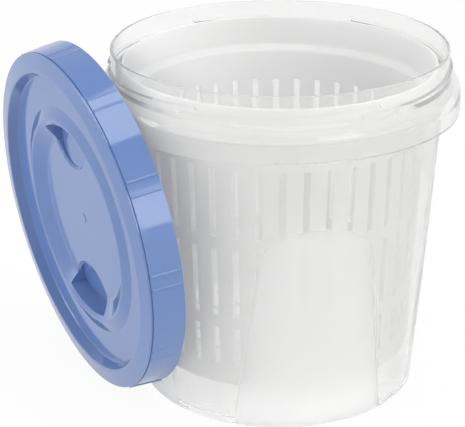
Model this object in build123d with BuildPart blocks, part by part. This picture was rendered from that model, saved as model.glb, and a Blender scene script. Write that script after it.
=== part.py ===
from build123d import *
from math import cos, radians, sin, sqrt, tan
import os

# Pickle jar with a lift-out strainer, and its screw lid stood on edge beside it.
# Millimetres, +Z up. The origin is the centre of the jar's resting face.

# Jar: one clear moulding
jar_height = 169.8
neck_radius = 80.0
neck_wall = 1.4
body_setback = 2.5
body_draft = 9.9
body_wall = 1.9
floor_wall = 2.0
foot_corner = 5.0
foot_lift = 1.2
foot_ring = 6.0
ledge_depth = 22.8
rim_round = 0.6
inside_round = 3.0

# Collar: an umbrella of plastic round the neck, open underneath
collar_reach = 5.7
collar_depth = 22.0
collar_drop = 7.4
collar_wall = 1.4
shoulder_depth = 12.2
shoulder_bulge = 1.5

# Screw thread on the neck
thread_starts = 6
thread_lead = 18.9
thread_turn = 66.0
thread_height = 1.4
thread_crest = 1.0
thread_root = 2.4
thread_depth = 8.3
thread_phase = 57.0
thread_sink = 0.5

# Frosted panels let into the jar's side
panel_count = 4
panel_turn = 14.7
panel_foot_width = 70.2
panel_top_width = 52.0
panel_side_height = 88.0
panel_arch_height = 16.5
panel_foot_recess = 0.95
panel_top_recess = 0.5

# Strainer: a slotted basket that hangs on the ledge inside the neck
strainer_drop = 7.4
strainer_clearance = 3.8
strainer_wall = 1.4
strainer_draft = 0.5
strainer_round = 0.5
basket_setback = 4.8
basket_draft = 5.6
basket_floor = 19.5
basket_corner = 4.5
step_height = 2.4
bead_height = 1.6
bead_clearance = 1.0
rest_gap = 0.1

# Slots in the strainer's side and floor
slot_columns = 40
slot_rows = 3
slot_width = 3.0
slot_length = 34.0
last_slot_length = 20.0
slot_bar = 6.0
slot_top = 131.0
slot_phase = 1.5
inner_drain_count = 10
inner_drain_shares = (0.20, 0.44)
outer_drain_count = 20
outer_drain_shares = (0.54, 0.86)

# Lid: a screw cap with a dished grip in its top
skirt_clearance = 4.4
lid_taper = 6.4
lid_wall = 1.6
lid_height = 17.9
skirt_height = 15.2
seam_depth = 0.7
seam_width = 0.6
seam_round = 0.3
ring_setback = 0.2
ring_side = 0.6
ring_slope = 8.2
ring_width = 1.4
ring_round = 0.4
ring_crown = 5.0
groove_depth = 5.0
groove_slope = 2.0
groove_width = 15.4
groove_round = 1.0
crest_width = 6.5
crest_height = 15.4
crest_round = 2.0
bowl_width = 9.0
dish_height = 10.2
dish_round = 4.0
wall_share = 0.3

# Grip ribs, gate mark and finger scoops on the lid
rib_pairs = 12
rib_spread = 4.6
rib_round = 0.8
rib_height = 0.5
rib_end = 0.5
gate_radius = 2.4
gate_height = 0.25
scoop_turns = (95.0, 267.0)
scoop_overlap = 7.0
scoop_reach = 3.0
scoop_radius = 20.0
scoop_depth = 5.0
scoop_step = 1.0
scoop_fall = 9.0
scoop_slope = 12.0
scoop_lip = 0.8
scoop_lip_slope = 50.0

# Thread inside the lid
lid_thread_turn = 44.0
lid_thread_clearance = 0.5
lid_thread_drop = 2.2
lid_thread_phase = 20.0

# Seal ring in the lid's channel
seal_width = 4.0
seal_thickness = 1.6

# Where the lid stands
lid_turn = 30.0
lid_side_share = 0.43
lid_gap = 0.1
height_steps = 60

# How far cutters run past what they cut
overrun = 2.0

# Jar's heights and radii
body_height = jar_height - collar_depth - collar_drop
ledge_height = jar_height - ledge_depth
neck_inner_radius = neck_radius - neck_wall
collar_radius = neck_radius + collar_reach
body_top_radius = neck_radius - body_setback
foot_radius = body_top_radius - body_draft


def wall_radius(height):
    return foot_radius + (body_top_radius - foot_radius) * height / body_height


ledge_radius = wall_radius(ledge_height) - body_wall
panel_height = panel_side_height + panel_arch_height

# One thread ridge, drawn from its lower end
thread_rise = thread_lead * thread_turn / 360
thread_start = jar_height - thread_depth - thread_rise

with BuildPart() as neck_ridge:
    with BuildLine() as ridge_path:
        Helix(thread_lead, thread_rise, neck_radius, center=(0, 0, thread_start))
    ridge_plane = Plane(ridge_path.line @ 0, x_dir=(1, 0, 0), z_dir=ridge_path.line % 0)
    with BuildSketch(ridge_plane):
        with BuildLine():
            Polyline(
                (-thread_sink, -thread_root / 2),
                (thread_height, -thread_crest / 2),
                (thread_height, thread_crest / 2),
                (-thread_sink, thread_root / 2),
                close=True,
            )
        make_face()
    sweep(is_frenet=True)

# One recessed panel, drawn facing +X
with BuildPart() as panel_cut:
    with BuildSketch(Plane.XZ):
        with BuildLine():
            Polyline(
                (wall_radius(-overrun) - panel_foot_recess, -overrun),
                (wall_radius(-overrun) + overrun, -overrun),
                (wall_radius(panel_height) + overrun, panel_height),
                (wall_radius(panel_height) - panel_top_recess, panel_height),
                close=True,
            )
        make_face()
    revolve(axis=Axis.Z)
    with BuildSketch(Plane.YZ):
        with BuildLine():
            Polyline(
                (panel_top_width / 2, panel_side_height),
                (panel_foot_width / 2, 0),
                (panel_foot_width / 2, -overrun),
                (-panel_foot_width / 2, -overrun),
                (-panel_foot_width / 2, 0),
                (-panel_top_width / 2, panel_side_height),
            )
            EllipticalCenterArc(
                (0, panel_side_height),
                panel_top_width / 2,
                panel_arch_height,
                start_angle=0,
                arc_size=180,
            )
        make_face()
    extrude(amount=collar_radius, mode=Mode.INTERSECT)

with BuildPart() as jar:
    with BuildSketch(Plane.XZ):
        # Wall, ledge and floor
        with BuildLine():
            FilletPolyline(
                (0, foot_lift),
                (foot_radius - foot_corner - foot_ring, foot_lift),
                (foot_radius - foot_corner - foot_ring + foot_lift, 0),
                (foot_radius, 0),
                (wall_radius(ledge_height - body_wall), ledge_height - body_wall),
                (neck_radius, ledge_height + body_wall),
                (neck_radius, jar_height),
                (neck_inner_radius, jar_height),
                (neck_inner_radius, ledge_height),
                (ledge_radius, ledge_height),
                (foot_radius - body_wall, foot_lift + floor_wall),
                (0, foot_lift + floor_wall),
                radius=(0, 0, 0, foot_corner, 0, 0, rim_round, rim_round, 0, 0, inside_round, 0),
                close=True,
            )
        make_face()
        # Umbrella collar
        shoulder_height = jar_height - shoulder_depth
        collar_height = jar_height - collar_depth
        collar_middle = (neck_radius + collar_radius) / 2
        middle_height = (shoulder_height + collar_height) / 2
        with BuildLine():
            ThreePointArc(
                (neck_radius, shoulder_height),
                (collar_middle + shoulder_bulge, middle_height + shoulder_bulge / 2),
                (collar_radius, collar_height),
            )
            Polyline(
                (collar_radius, collar_height),
                (collar_radius, body_height + collar_wall / 2),
            )
            ThreePointArc(
                (collar_radius, body_height + collar_wall / 2),
                (collar_radius - collar_wall / 2, body_height),
                (collar_radius - collar_wall, body_height + collar_wall / 2),
            )
            Polyline(
                (collar_radius - collar_wall, body_height + collar_wall / 2),
                (collar_radius - collar_wall, collar_height),
            )
            ThreePointArc(
                (collar_radius - collar_wall, collar_height),
                (
                    collar_middle + shoulder_bulge - collar_wall,
                    middle_height + shoulder_bulge / 2 - collar_wall / 2,
                ),
                (neck_radius, shoulder_height - 2 * collar_wall),
            )
            Polyline(
                (neck_radius, shoulder_height - 2 * collar_wall),
                (neck_radius - neck_wall / 2, shoulder_height - 2 * collar_wall),
                (neck_radius - neck_wall / 2, shoulder_height),
                (neck_radius, shoulder_height),
            )
        make_face()
    revolve(axis=Axis.Z)
    with PolarLocations(0, thread_starts, start_angle=thread_phase):
        add(neck_ridge.part)
    with PolarLocations(0, panel_count, start_angle=panel_turn - 90):
        add(panel_cut.part, mode=Mode.SUBTRACT)
jar.part.label = "jar"

# Strainer's radii, set in from the neck, and its heights, hung from the ledge
strainer_radius = neck_inner_radius - strainer_clearance
basket_top_radius = strainer_radius - basket_setback
basket_foot_radius = basket_top_radius - basket_draft
strainer_top = jar_height - strainer_drop
bead_foot = ledge_height + rest_gap
step_foot = bead_foot - step_height
bead_radius = neck_inner_radius - bead_clearance
collar_foot_radius = strainer_radius - strainer_draft
slot_start = basket_foot_radius - 2 * overrun

# One column of slots, drawn facing +X
with BuildPart() as slot_column:
    with BuildSketch(Plane.YZ.offset(slot_start)):
        for row in range(slot_rows):
            length = last_slot_length if row == slot_rows - 1 else slot_length
            top = slot_top - row * (slot_length + slot_bar)
            with Locations((0, top - length / 2)):
                Rectangle(slot_width, length)
    extrude(amount=strainer_radius - slot_start)

with BuildPart() as strainer:
    with BuildSketch(Plane.XZ):
        with BuildLine():
            FilletPolyline(
                (0, basket_floor),
                (basket_foot_radius, basket_floor),
                (basket_top_radius, step_foot),
                (collar_foot_radius, bead_foot),
                (strainer_radius, strainer_top),
                (strainer_radius - strainer_wall, strainer_top),
                (collar_foot_radius - strainer_wall, bead_foot + strainer_wall),
                (basket_top_radius - strainer_wall, step_foot + strainer_wall),
                (basket_foot_radius - strainer_wall, basket_floor + strainer_wall),
                (0, basket_floor + strainer_wall),
                radius=(
                    0,
                    basket_corner,
                    strainer_wall,
                    strainer_round,
                    strainer_round,
                    strainer_round,
                    strainer_wall,
                    strainer_wall,
                    basket_corner - strainer_wall,
                    0,
                ),
                close=True,
            )
        make_face()
        # Bead that rests on the ledge
        with BuildLine():
            Polyline(
                (collar_foot_radius - strainer_wall / 2, bead_foot + strainer_wall / 2),
                (collar_foot_radius - strainer_wall / 2, bead_foot + bead_height),
                (bead_radius, bead_foot + bead_height),
                (bead_radius, bead_foot),
                (collar_foot_radius, bead_foot),
                close=True,
            )
        make_face()
    revolve(axis=Axis.Z)
    with PolarLocations(0, slot_columns, start_angle=slot_phase - 90):
        add(slot_column.part, mode=Mode.SUBTRACT)
    with BuildSketch(Plane.XY.offset(basket_floor - overrun)):
        for count, shares in (
            (inner_drain_count, inner_drain_shares),
            (outer_drain_count, outer_drain_shares),
        ):
            inner = shares[0] * basket_foot_radius
            outer = shares[1] * basket_foot_radius
            with PolarLocations((inner + outer) / 2, count):
                SlotOverall(outer - inner, slot_width)
    extrude(amount=strainer_wall + 2 * overrun, mode=Mode.SUBTRACT)
strainer.part.label = "strainer"

# The lid's skirt passes over the neck and its thread
lid_radius = neck_radius + skirt_clearance + lid_wall


def skirt_radius(height):
    return lid_radius - height * tan(radians(lid_taper))


# Lid's sizes, measured up from its open edge and in from its skirt
skirt_top_radius = skirt_radius(skirt_height)
rib_top = skirt_height - rib_end
ring_foot = skirt_height + seam_width
ring_radius = skirt_top_radius - ring_setback
ring_inner_radius = ring_radius - ring_slope - ring_width
groove_outer_radius = ring_inner_radius - groove_slope
groove_inner_radius = groove_outer_radius - groove_width
crest_radius = groove_inner_radius - crest_width
dish_radius = crest_radius - bowl_width
scoop_outer_radius = dish_radius + scoop_overlap
scoop_centre_radius = scoop_outer_radius - scoop_reach
rib_axis_radius = lid_radius + rib_height - rib_round
groove_height = lid_height - groove_depth
channel_height = lid_height - lid_wall
shift = wall_share * lid_wall
lid_thread_crest = neck_radius + lid_thread_clearance
lid_thread_rise = thread_lead * lid_thread_turn / 360
thread_mid_depth = thread_depth + thread_rise / 2
lid_thread_height = channel_height - seal_thickness - thread_mid_depth - lid_thread_drop
lid_thread_start = lid_thread_height - lid_thread_rise / 2

with BuildPart() as lid_ridge:
    with BuildLine() as lid_path:
        Helix(thread_lead, lid_thread_rise, lid_thread_crest, center=(0, 0, lid_thread_start))
    lid_ridge_plane = Plane(lid_path.line @ 0, x_dir=(1, 0, 0), z_dir=lid_path.line % 0)
    ridge_length = lid_radius - lid_wall / 2 - lid_thread_crest
    with BuildSketch(lid_ridge_plane):
        with BuildLine():
            Polyline(
                (0, -thread_crest / 2),
                (0, thread_crest / 2),
                (ridge_length, thread_root / 2),
                (ridge_length, -thread_root / 2),
                close=True,
            )
        make_face()
    sweep(is_frenet=True)

with BuildPart() as rib:
    with BuildLine() as rib_line:
        Line(
            (rib_axis_radius - rib_end * tan(radians(lid_taper)), 0, rib_end),
            (rib_axis_radius - rib_top * tan(radians(lid_taper)), 0, rib_top),
        )
    with BuildSketch(Plane(rib_line.line @ 0, z_dir=rib_line.line % 0)):
        Circle(rib_round)
    sweep()


def scoop_block(spread):
    # One scoop's room, or with a spread the room and the wall round it, drawn towards +X
    with BuildPart() as block:
        with BuildSketch(Plane.XY.offset(crest_height)):
            Circle(scoop_outer_radius + spread)
            with Locations((scoop_centre_radius, 0)):
                Circle(scoop_radius + spread, mode=Mode.INTERSECT)
        extrude(amount=dish_height - crest_height - scoop_depth - spread, taper=scoop_slope)
        floor = Plane(
            origin=(scoop_centre_radius - scoop_radius, 0, dish_height - scoop_step - spread),
            z_dir=(sin(radians(scoop_fall)), 0, cos(radians(scoop_fall))),
        )
        split(bisect_by=floor, keep=Keep.TOP)
    return block.part


# Wall under a scoop, kept inside the dish's floor and slope
with BuildPart() as scoop_shell:
    add(scoop_block(lid_wall))
    with BuildSketch(Plane.XZ):
        with BuildLine():
            Polyline(
                (0, 0),
                (crest_radius, 0),
                (crest_radius, crest_height - lid_wall / 2),
                (dish_radius, dish_height - lid_wall / 2),
                (0, dish_height - lid_wall / 2),
                close=True,
            )
        make_face()
    revolve(axis=Axis.Z, mode=Mode.INTERSECT)

# The lid upright, open edge on the XY plane
with BuildPart() as upright_lid:
    with BuildSketch(Plane.XZ):
        with BuildLine():
            FilletPolyline(
                (lid_radius, 0),
                (skirt_top_radius, skirt_height),
                (skirt_top_radius - seam_depth, skirt_height),
                (skirt_top_radius - seam_depth, ring_foot),
                (ring_radius, ring_foot),
                (ring_radius, ring_foot + ring_side),
                (ring_radius - ring_slope, lid_height),
                (ring_inner_radius, lid_height),
                (groove_outer_radius, groove_height),
                (groove_inner_radius, groove_height),
                (crest_radius, crest_height),
                (dish_radius, dish_height),
                (0, dish_height),
                (0, dish_height - lid_wall),
                (dish_radius + shift, dish_height - lid_wall),
                (crest_radius, crest_height - lid_wall - shift),
                (groove_inner_radius - shift, groove_height - lid_wall),
                (groove_outer_radius + lid_wall - shift, groove_height - lid_wall),
                (ring_inner_radius + lid_wall, channel_height),
                (skirt_top_radius - lid_wall, channel_height),
                (lid_radius - lid_wall, 0),
                radius=(
                    0,
                    seam_round,
                    0,
                    0,
                    0,
                    seam_round,
                    ring_crown,
                    ring_round,
                    groove_round,
                    groove_round,
                    crest_round,
                    dish_round,
                    0,
                    0,
                    dish_round,
                    crest_round,
                    groove_round,
                    groove_round,
                    rib_end,
                    rib_end,
                    0,
                ),
                close=True,
            )
        make_face()
    revolve(axis=Axis.Z)
    # Finger scoops, with a sloped lip where they leave the dish's floor
    for turn in scoop_turns:
        with PolarLocations(0, 1, start_angle=turn):
            add(scoop_shell.part)
            add(scoop_block(0), mode=Mode.SUBTRACT)
        with BuildSketch(Plane.XY.offset(dish_height)):
            Circle(dish_radius)
            with PolarLocations(scoop_centre_radius, 1, start_angle=turn):
                Circle(scoop_radius, mode=Mode.INTERSECT)
        extrude(amount=-scoop_lip, taper=scoop_lip_slope, mode=Mode.SUBTRACT)
    with PolarLocations(0, thread_starts, start_angle=lid_thread_phase):
        add(lid_ridge.part)
    for side in (-1, 1):
        with PolarLocations(0, rib_pairs, start_angle=side * rib_spread / 2):
            add(rib.part)
    with BuildSketch(Plane.XY.offset(dish_height)):
        Circle(gate_radius)
    extrude(amount=gate_height)

# The lid stands on the lowest pair of ribs, so it leans outward by the skirt's taper
taper = radians(lid_taper)
turn = radians(lid_turn)
rib_turn = radians(rib_spread / 2)
lid_centre_height = rib_axis_radius * cos(rib_turn) * cos(taper) + rib_round
lid_side = lid_side_share * lid_radius
neck_foot = jar_height - shoulder_depth
stand_off = 0
for step in range(height_steps):
    height = jar_height * step / height_steps
    if height < body_height:
        reach = wall_radius(height)
    elif height < neck_foot:
        reach = collar_radius
    else:
        reach = neck_radius + thread_height
    for edge in (lid_radius, lid_radius - lid_wall):
        half_chord = sqrt(max(edge**2 - ((height - lid_centre_height) / cos(taper)) ** 2, 0))
        across = half_chord - lid_side
        if half_chord > 0 and abs(across) < reach:
            stand_off = max(stand_off, sqrt(reach**2 - across**2) - height * tan(taper))
lid_out = stand_off + lid_gap + lid_centre_height * tan(taper)
lid_centre = (
    -lid_out * cos(turn) - lid_side * sin(turn),
    -lid_out * sin(turn) + lid_side * cos(turn),
    lid_centre_height,
)
lid_plane = Plane(
    origin=lid_centre,
    x_dir=(sin(turn), -cos(turn), 0),
    z_dir=(-cos(taper) * cos(turn), -cos(taper) * sin(turn), -sin(taper)),
)

with BuildPart() as lid:
    with Locations(lid_plane):
        add(upright_lid.part)
lid.part.label = "lid"

# Seal ring against the roof of the channel that takes the jar's rim
seal_radius = neck_radius - neck_wall / 2
with BuildPart() as lid_gasket:
    with BuildSketch(lid_plane.offset(channel_height - seal_thickness)):
        Circle(seal_radius + seal_width / 2)
        Circle(seal_radius - seal_width / 2, mode=Mode.SUBTRACT)
    extrude(amount=seal_thickness)
lid_gasket.part.label = "lid_gasket"

os.makedirs("parts", exist_ok=True)
export_step(jar.part, "parts/jar.step")
export_step(strainer.part, "parts/strainer.step")
export_step(lid.part, "parts/lid.step")
export_step(lid_gasket.part, "parts/lid_gasket.step")
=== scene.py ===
from math import cos, pi, radians, sin

import bpy
from mathutils import Matrix, Vector

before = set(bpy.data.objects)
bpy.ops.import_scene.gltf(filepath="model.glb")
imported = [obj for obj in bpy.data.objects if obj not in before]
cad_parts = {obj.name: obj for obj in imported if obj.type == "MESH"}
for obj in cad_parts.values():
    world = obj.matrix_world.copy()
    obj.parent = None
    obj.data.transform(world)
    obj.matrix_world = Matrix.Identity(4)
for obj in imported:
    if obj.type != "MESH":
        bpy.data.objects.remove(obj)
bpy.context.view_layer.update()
print("frame loaded")


def addNode(tree, kind, settings=None, **inputs):
    node = tree.nodes.new(kind)
    for name, value in (settings or {}).items():
        setattr(node, name, value)
    for name, value in inputs.items():
        plug(tree, value, node.inputs[name])
    return node


def plug(tree, value, socket):
    if isinstance(value, bpy.types.NodeSocket):
        tree.links.new(value, socket)
    else:
        socket.default_value = value


def calc(tree, operation, first, second=0.0, third=0.0, clamp=False):
    node = addNode(tree, "ShaderNodeMath", {"operation": operation, "use_clamp": clamp})
    for socket, value in zip(node.inputs, (first, second, third)):
        plug(tree, value, socket)
    return node.outputs[0]


def ramp(tree, value, low, high, outLow=0.0, outHigh=1.0, smooth=False):
    kind = "SMOOTHSTEP" if smooth else "LINEAR"
    node = addNode(tree, "ShaderNodeMapRange", {"interpolation_type": kind, "clamp": True})
    for socket, entry in zip(node.inputs, (value, low, high, outLow, outHigh)):
        plug(tree, entry, socket)
    return node.outputs[0]


def mixColour(tree, share, first, second, blend="MIX"):
    node = addNode(tree, "ShaderNodeMix", {"data_type": "RGBA", "blend_type": blend})
    for index, value in ((0, share), (6, first), (7, second)):
        plug(tree, value, node.inputs[index])
    return node.outputs[2]


def mixShaders(tree, share, first, second):
    node = addNode(tree, "ShaderNodeMixShader")
    for socket, value in zip(node.inputs, (share, first.outputs[0], second.outputs[0])):
        plug(tree, value, socket)
    return node


def newMaterial(name):
    material = bpy.data.materials.new(name)
    material.use_nodes = True
    material.node_tree.nodes.clear()
    return material, material.node_tree


def finishMaterial(tree, shader):
    output = addNode(tree, "ShaderNodeOutputMaterial")
    tree.links.new(shader.outputs[0], output.inputs["Surface"])


def useGroup(tree, group, **values):
    node = addNode(tree, "ShaderNodeGroup", {"node_tree": group})
    for name, value in values.items():
        plug(tree, value, node.inputs[name])
    return node


def newGroup(name, inputs, outputs):
    group = bpy.data.node_groups.new(name, "ShaderNodeTree")
    for socketName, kind, value in inputs:
        socket = group.interface.new_socket(socketName, in_out="INPUT", socket_type=kind)
        socket.default_value = value
    for socketName, kind in outputs:
        group.interface.new_socket(socketName, in_out="OUTPUT", socket_type=kind)
    return group, addNode(group, "NodeGroupInput"), addNode(group, "NodeGroupOutput")


def wear(name="mouldedWear"):
    # Slow waves of a moulded wall, fine scuffs and a trace of dust
    group, given, result = newGroup(
        name,
        (
            ("WaveSize", "NodeSocketFloat", 30.0),
            ("GrainSize", "NodeSocketFloat", 900.0),
            ("ScuffSize", "NodeSocketFloat", 260.0),
            ("WaveShare", "NodeSocketFloat", 0.5),
            ("GrainShare", "NodeSocketFloat", 0.3),
        ),
        (("Height", "NodeSocketFloat"), ("Scuff", "NodeSocketFloat"), ("Mottle", "NodeSocketFloat")),
    )
    place = addNode(group, "ShaderNodeTexCoord").outputs["Object"]
    waves = addNode(
        group, "ShaderNodeTexNoise", None, Vector=place, Scale=given.outputs["WaveSize"], Detail=1.5,
    )
    grain = addNode(
        group, "ShaderNodeTexNoise", None, Vector=place, Scale=given.outputs["GrainSize"], Detail=3.0,
    )
    stretch = addNode(group, "ShaderNodeMapping", None, Vector=place)
    stretch.inputs["Scale"].default_value = (1.0, 1.0, 0.12)
    stretch.inputs["Rotation"].default_value = (0.4, 0.9, 0.2)
    scuffs = addNode(
        group, "ShaderNodeTexNoise", None,
        Vector=stretch.outputs[0], Scale=given.outputs["ScuffSize"], Detail=4.0, Roughness=0.7,
    )
    height = calc(
        group, "ADD",
        calc(group, "MULTIPLY", waves.outputs["Fac"], given.outputs["WaveShare"]),
        calc(group, "MULTIPLY", grain.outputs["Fac"], given.outputs["GrainShare"]),
    )
    group.links.new(height, result.inputs["Height"])
    group.links.new(ramp(group, scuffs.outputs["Fac"], 0.6, 0.72), result.inputs["Scuff"])
    group.links.new(ramp(group, waves.outputs["Fac"], 0.3, 0.7), result.inputs["Mottle"])
    return group


mouldedWear = wear()
print("shared node groups built")

jarLook = {
    "colour": (0.985, 0.985, 0.98, 1.0),
    "frost": (0.79, 0.79, 0.79, 1.0),
    "footFrost": (0.87, 0.87, 0.87, 1.0),
    "footLow": 0.014,
    "footHigh": 0.026,
    "shadow": (0.97, 0.97, 0.97, 1.0),
    "roughness": 0.05,
    "frostRoughness": 0.75,
    "ior": 1.25,
    "haze": 0.2,
    "frostHaze": 0.34,
    "bump": 0.06,
    "panelCount": 4,
    "panelTurn": radians(14.7),
    "panelFootHalf": 0.0351,
    "panelTopHalf": 0.026,
    "panelSideHeight": 0.088,
    "panelHeight": 0.1045,
    "panelEdge": 0.0016,
    "restLow": 0.0004,
    "restHigh": 0.0012,
    "dulling": 0.08,
    "bumpDistance": 0.004,
}


def placeParts(tree, name="Object"):
    parts = addNode(tree, "ShaderNodeSeparateXYZ")
    tree.links.new(addNode(tree, "ShaderNodeTexCoord").outputs[name], parts.inputs[0])
    return parts.outputs


def addBump(tree, strength, distance, height):
    return addNode(
        tree, "ShaderNodeBump", None, Strength=strength, Distance=distance, Height=height,
    ).outputs[0]


def panelMask(tree, look):
    # 1 on the arched frosted panels, 0 elsewhere, from the place on the jar's wall
    x, y, z = placeParts(tree)
    quarter = 2 * pi / look["panelCount"]
    angle = calc(tree, "ARCTAN2", y, x)
    turned = calc(tree, "SUBTRACT", angle, look["panelTurn"] - radians(90) - quarter / 2)
    folded = calc(tree, "SUBTRACT", calc(tree, "FLOORED_MODULO", turned, quarter), quarter / 2)
    squares = calc(tree, "ADD", calc(tree, "MULTIPLY", x, x), calc(tree, "MULTIPLY", y, y))
    radius = calc(tree, "SQRT", squares)
    across = calc(tree, "ABSOLUTE", calc(tree, "MULTIPLY", radius, calc(tree, "SINE", folded)))
    side = ramp(tree, z, 0.0, look["panelSideHeight"], look["panelFootHalf"], look["panelTopHalf"])
    rise = calc(
        tree, "DIVIDE", calc(tree, "SUBTRACT", z, look["panelSideHeight"]),
        look["panelHeight"] - look["panelSideHeight"],
    )
    rise = calc(tree, "MAXIMUM", rise, 0.0)
    left = calc(tree, "SUBTRACT", 1.0, calc(tree, "MULTIPLY", rise, rise))
    arch = calc(tree, "SQRT", calc(tree, "MAXIMUM", left, 0.0))
    room = calc(tree, "SUBTRACT", calc(tree, "MULTIPLY", side, arch), across)
    mask = ramp(tree, room, -look["panelEdge"], 0.0, smooth=True)
    # The edge's soft border stops just above the arch
    below = ramp(tree, z, look["panelHeight"], look["panelHeight"] + look["panelEdge"], 1.0, 0.0)
    mask = calc(tree, "MULTIPLY", mask, below)
    return calc(tree, "MULTIPLY", mask, ramp(tree, z, look["restLow"], look["restHigh"]))


def jarMaterial(look):
    material, tree = newMaterial("clearJar")
    marks = useGroup(tree, mouldedWear, WaveSize=26.0, GrainSize=1400.0, WaveShare=1.0, GrainShare=0.04)
    frost = panelMask(tree, look)
    dulled = calc(tree, "MULTIPLY", marks.outputs["Scuff"], look["dulling"])
    roughness = calc(
        tree, "ADD", ramp(tree, frost, 0.0, 1.0, look["roughness"], look["frostRoughness"]), dulled
    )
    bump = addBump(tree, look["bump"], look["bumpDistance"], marks.outputs["Height"])
    clear = addNode(
        tree, "ShaderNodeBsdfPrincipled", None,
        Roughness=roughness, IOR=look["ior"], Normal=bump,
    )
    clear.inputs["Base Color"].default_value = look["colour"]
    clear.inputs["Transmission Weight"].default_value = 1.0
    # The thick foot looks whiter than the wall
    height = placeParts(tree)[2]
    foot = ramp(tree, height, look["footLow"], look["footHigh"], 1.0, 0.0)
    milk = mixColour(tree, foot, look["frost"], look["footFrost"])
    milky = addNode(tree, "ShaderNodeBsdfTranslucent", None, Color=milk)
    matt = addNode(tree, "ShaderNodeBsdfDiffuse", None, Color=milk)
    haze = ramp(tree, frost, 0.0, 1.0, look["haze"], look["frostHaze"])
    body = mixShaders(tree, haze, clear, mixShaders(tree, 0.5, matt, milky))
    # Lamps reach what is inside the jar
    seeThrough = addNode(tree, "ShaderNodeBsdfTransparent")
    seeThrough.inputs["Color"].default_value = look["shadow"]
    path = addNode(tree, "ShaderNodeLightPath")
    finishMaterial(tree, mixShaders(tree, path.outputs["Is Shadow Ray"], body, seeThrough))
    return material


strainerLook = {
    "colour": (0.94, 0.94, 0.937, 1.0),
    "through": (0.96, 0.96, 0.957, 1.0),
    "roughness": 0.38,
    "translucency": 0.58,
    "clearness": 0.12,
    "mottle": 0.5,
    "mottleShade": 0.97,
    "dulling": 0.12,
    "ior": 1.49,
    "bump": 0.05,
    "bumpDistance": 0.003,
}


def strainerMaterial(look):
    material, tree = newMaterial("whiteStrainer")
    marks = useGroup(tree, mouldedWear, WaveSize=34.0, GrainSize=1100.0, WaveShare=0.7, GrainShare=0.12)
    shade = mixColour(
        tree, calc(tree, "MULTIPLY", marks.outputs["Mottle"], look["mottle"]), look["colour"],
        tuple(look["mottleShade"] * c for c in look["colour"][:3]) + (1.0,),
    )
    dulled = calc(tree, "MULTIPLY", marks.outputs["Scuff"], look["dulling"])
    roughness = calc(tree, "ADD", dulled, look["roughness"])
    bump = addBump(tree, look["bump"], look["bumpDistance"], marks.outputs["Height"])
    skin = addNode(
        tree, "ShaderNodeBsdfPrincipled", None,
        Roughness=roughness, IOR=look["ior"], Normal=bump,
    )
    tree.links.new(shade, skin.inputs["Base Color"])
    glow = addNode(tree, "ShaderNodeBsdfTranslucent", None, Normal=bump)
    glow.inputs["Color"].default_value = look["through"]
    body = mixShaders(tree, look["translucency"], skin, glow)
    seeThrough = addNode(tree, "ShaderNodeBsdfTransparent")
    finishMaterial(tree, mixShaders(tree, look["clearness"], body, seeThrough))
    return material


lidLook = {
    "colour": (0.15, 0.255, 0.53, 1.0),
    "pale": (0.17, 0.275, 0.555, 1.0),
    "through": (0.25, 0.38, 0.80, 1.0),
    "roughness": 0.09,
    "translucency": 0.2,
    "coat": 0.4,
    "coatRoughness": 0.08,
    "dulling": 0.14,
    "ior": 1.49,
    "bump": 0.05,
    "bumpDistance": 0.004,
}


def lidMaterial(look):
    material, tree = newMaterial("blueLid")
    marks = useGroup(tree, mouldedWear, WaveSize=22.0, GrainSize=1000.0, WaveShare=0.8, GrainShare=0.06)
    shade = mixColour(tree, marks.outputs["Mottle"], look["colour"], look["pale"])
    dulled = calc(tree, "MULTIPLY", marks.outputs["Scuff"], look["dulling"])
    roughness = calc(tree, "ADD", dulled, look["roughness"])
    bump = addBump(tree, look["bump"], look["bumpDistance"], marks.outputs["Height"])
    skin = addNode(
        tree, "ShaderNodeBsdfPrincipled", None,
        Roughness=roughness, IOR=look["ior"], Normal=bump,
    )
    tree.links.new(shade, skin.inputs["Base Color"])
    skin.inputs["Coat Weight"].default_value = look["coat"]
    skin.inputs["Coat Roughness"].default_value = look["coatRoughness"]
    glow = addNode(tree, "ShaderNodeBsdfTranslucent", None, Normal=bump)
    glow.inputs["Color"].default_value = look["through"]
    finishMaterial(tree, mixShaders(tree, look["translucency"], skin, glow))
    return material


sealLook = {
    "colour": (0.80, 0.83, 0.88, 1.0),
    "shade": (0.72, 0.76, 0.83, 1.0),
    "roughness": 0.6,
    "dulling": 0.15,
    "bump": 0.12,
    "bumpDistance": 0.001,
}


def sealMaterial(look):
    material, tree = newMaterial("softSeal")
    marks = useGroup(tree, mouldedWear, WaveSize=60.0, GrainSize=1600.0, WaveShare=0.4, GrainShare=0.5)
    shade = mixColour(tree, marks.outputs["Mottle"], look["colour"], look["shade"])
    dulled = calc(tree, "MULTIPLY", marks.outputs["Scuff"], look["dulling"])
    roughness = calc(tree, "ADD", dulled, look["roughness"])
    bump = addBump(tree, look["bump"], look["bumpDistance"], marks.outputs["Height"])
    skin = addNode(tree, "ShaderNodeBsdfPrincipled", None, Roughness=roughness, Normal=bump)
    tree.links.new(shade, skin.inputs["Base Color"])
    finishMaterial(tree, skin)
    return material


finishes = {
    "jar": jarMaterial(jarLook),
    "strainer": strainerMaterial(strainerLook),
    "lid": lidMaterial(lidLook),
    "lid_gasket": sealMaterial(sealLook),
}
for nodeName, material in finishes.items():
    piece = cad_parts[nodeName]
    piece.data.materials.clear()
    piece.data.materials.append(material)
print("materials assigned")

stageLook = {
    "floorSize": 6.0,
    "floorDrop": 0.0002,
    "floorColour": (0.86, 0.86, 0.86, 1.0),
    "floorGlow": 0.93,
    "horizonLight": 1.0,
    "zenithLight": 0.55,
    "zenithReflection": 0.35,
    "horizonHeight": 0.05,
    "zenithHeight": 0.9,
}


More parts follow.
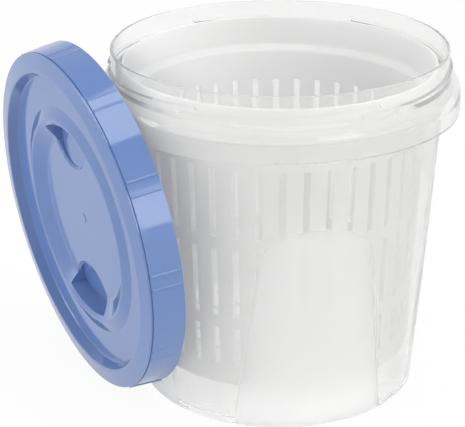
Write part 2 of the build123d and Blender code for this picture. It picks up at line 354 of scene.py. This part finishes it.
def seenDirectly(tree):
    path = addNode(tree, "ShaderNodeLightPath")
    seen = calc(tree, "MAXIMUM", path.outputs["Is Camera Ray"], path.outputs["Is Glossy Ray"])
    return calc(tree, "MAXIMUM", seen, path.outputs["Is Transmission Ray"])


def buildFloor(look):
    half = look["floorSize"] / 2
    mesh = bpy.data.meshes.new("floor")
    corners = [(-half, -half, 0), (half, -half, 0), (half, half, 0), (-half, half, 0)]
    mesh.from_pydata(corners, [], [range(len(corners))])
    floor = bpy.data.objects.new("floor", mesh)
    bpy.context.scene.collection.objects.link(floor)
    floor.location.z = -look["floorDrop"]
    material, tree = newMaterial("paleFloor")
    matt = addNode(tree, "ShaderNodeBsdfDiffuse")
    matt.inputs["Color"].default_value = look["floorColour"]
    white = addNode(tree, "ShaderNodeEmission", None, Strength=1.0)
    share = calc(tree, "MULTIPLY", seenDirectly(tree), look["floorGlow"])
    finishMaterial(tree, mixShaders(tree, share, matt, white))
    mesh.materials.append(material)


def buildWorld(look):
    world = bpy.data.worlds.new("studio")
    bpy.context.scene.world = world
    world.use_nodes = True
    tree = world.node_tree
    tree.nodes.clear()
    # A white room that darkens towards its ceiling, most of all in reflections
    upward = placeParts(tree, "Generated")[2]
    top = ramp(tree, seenDirectly(tree), 0.0, 1.0, look["zenithLight"], look["zenithReflection"])
    strength = ramp(
        tree, upward, look["horizonHeight"], look["zenithHeight"], look["horizonLight"], top,
    )
    sky = addNode(tree, "ShaderNodeBackground", None, Strength=strength)
    sky.inputs["Color"].default_value = (1.0, 1.0, 1.0, 1.0)
    output = addNode(tree, "ShaderNodeOutputWorld")
    tree.links.new(sky.outputs[0], output.inputs["Surface"])


lamps = {
    "topSoftbox": {"place": (0.1, -0.1, 1.5), "aim": (0, 0, 0.08), "size": 0.9, "power": 10.0},
    "leftWindow": {"place": (-1.3, -0.1, 0.3), "aim": (-0.08, 0, 0.09), "size": 0.4, "power": 4.5},
    "frontSoftbox": {"place": (0.9, -1.2, 0.7), "aim": (0, 0, 0.09), "size": 0.7, "power": 6.0},
}


def buildLamps(settings):
    for name, lamp in settings.items():
        data = bpy.data.lights.new(name, "AREA")
        data.shape = "SQUARE"
        data.size = lamp["size"]
        data.energy = lamp["power"]
        holder = bpy.data.objects.new(name, data)
        bpy.context.scene.collection.objects.link(holder)
        holder.location = lamp["place"]
        away = Vector(lamp["place"]) - Vector(lamp["aim"])
        holder.rotation_euler = away.to_track_quat("Z", "Y").to_euler()


buildFloor(stageLook)
buildWorld(stageLook)
buildLamps(lamps)
print("stage built")

cameraFit = {
    "distance": 0.88,
    "elevation": radians(27.175),
    "yaw": radians(-1.652),
    "pitch": radians(22.144),
    "roll": radians(-0.174),
    "lens": 133.41,
    "sensor": 36.0,
}


def buildCamera(fit):
    data = bpy.data.cameras.new("photoCamera")
    data.sensor_width = fit["sensor"]
    data.lens = fit["lens"]
    data.clip_start = 0.05
    camera = bpy.data.objects.new("photoCamera", data)
    bpy.context.scene.collection.objects.link(camera)
    place = Vector((0.0, -cos(fit["elevation"]), sin(fit["elevation"]))) * fit["distance"]
    level = cos(fit["pitch"])
    ahead = Vector((sin(fit["yaw"]) * level, cos(fit["yaw"]) * level, -sin(fit["pitch"])))
    right = Vector((cos(fit["yaw"]), -sin(fit["yaw"]), 0.0))
    above = right.cross(ahead)
    rolledRight = right * cos(fit["roll"]) + above * sin(fit["roll"])
    rolledUp = above * cos(fit["roll"]) - right * sin(fit["roll"])
    turn = Matrix((rolledRight, rolledUp, -ahead)).transposed()
    camera.matrix_world = Matrix.Translation(place) @ turn.to_4x4()
    bpy.context.scene.camera = camera


buildCamera(cameraFit)
bpy.context.scene.view_settings.view_transform = "Standard"
print("camera placed")
